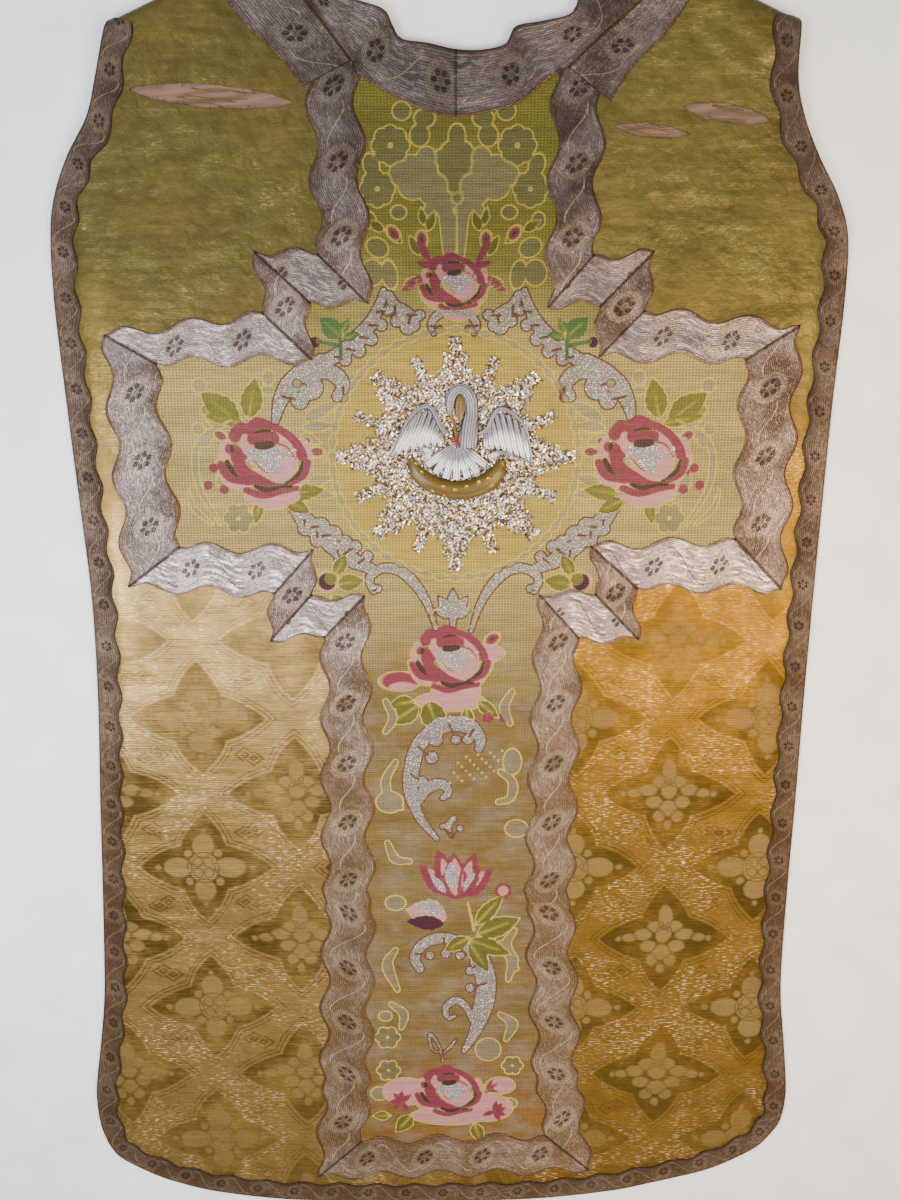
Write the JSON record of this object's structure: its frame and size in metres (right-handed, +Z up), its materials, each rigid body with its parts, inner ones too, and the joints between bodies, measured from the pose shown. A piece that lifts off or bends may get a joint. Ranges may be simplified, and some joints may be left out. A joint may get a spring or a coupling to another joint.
{
  "type": "chasuble",
  "caption": "Fiddle-backed chasuble laid flat, back up: brocade panels, raised cross in scalloped galloon, and a padded bird in a sunburst.",
  "frame": {"origin": "on the surface the garment lies on, on the cross's centre line, half-way along the garment", "axes": "+Y from hem to neck, +Z up out of the back, +X across"},
  "size_m": [0.6865, 1.1756, 0.0166],
  "materials": {
    "brocade": "worn silk and metal-thread brocade",
    "orphrey": "figured silk with a fine mesh ground",
    "galloon": "tarnished metal-thread galloon",
    "edge_galloon": "dull metal-thread galloon",
    "interlining": "plain weave, matte",
    "metal_purl": "chipped metal purl, glittering",
    "silver_thread": "laid metal thread over padding",
    "gold_silk": "silk satin over padding"
  },
  "bodies": {
    "root": {"front_panel": "brocade", "front_edge_braid": "edge_galloon", "front_neck_braid": "edge_galloon", "back_panel": "brocade", "interlining_left": "interlining", "interlining_right": "interlining", "orphrey_cross": "orphrey", "cross_braid": "galloon", "neck_braid": "galloon", "shoulder_braid_left": "galloon", "shoulder_braid_right": "galloon", "back_edge_braid": "edge_galloon", "sunburst": "metal_purl", "pelican_body": "silver_thread", "pelican_wing_left": "silver_thread", "pelican_wing_right": "silver_thread", "chick_fan": "silver_thread", "nest": "gold_silk"}
  },
  "joints": []
}
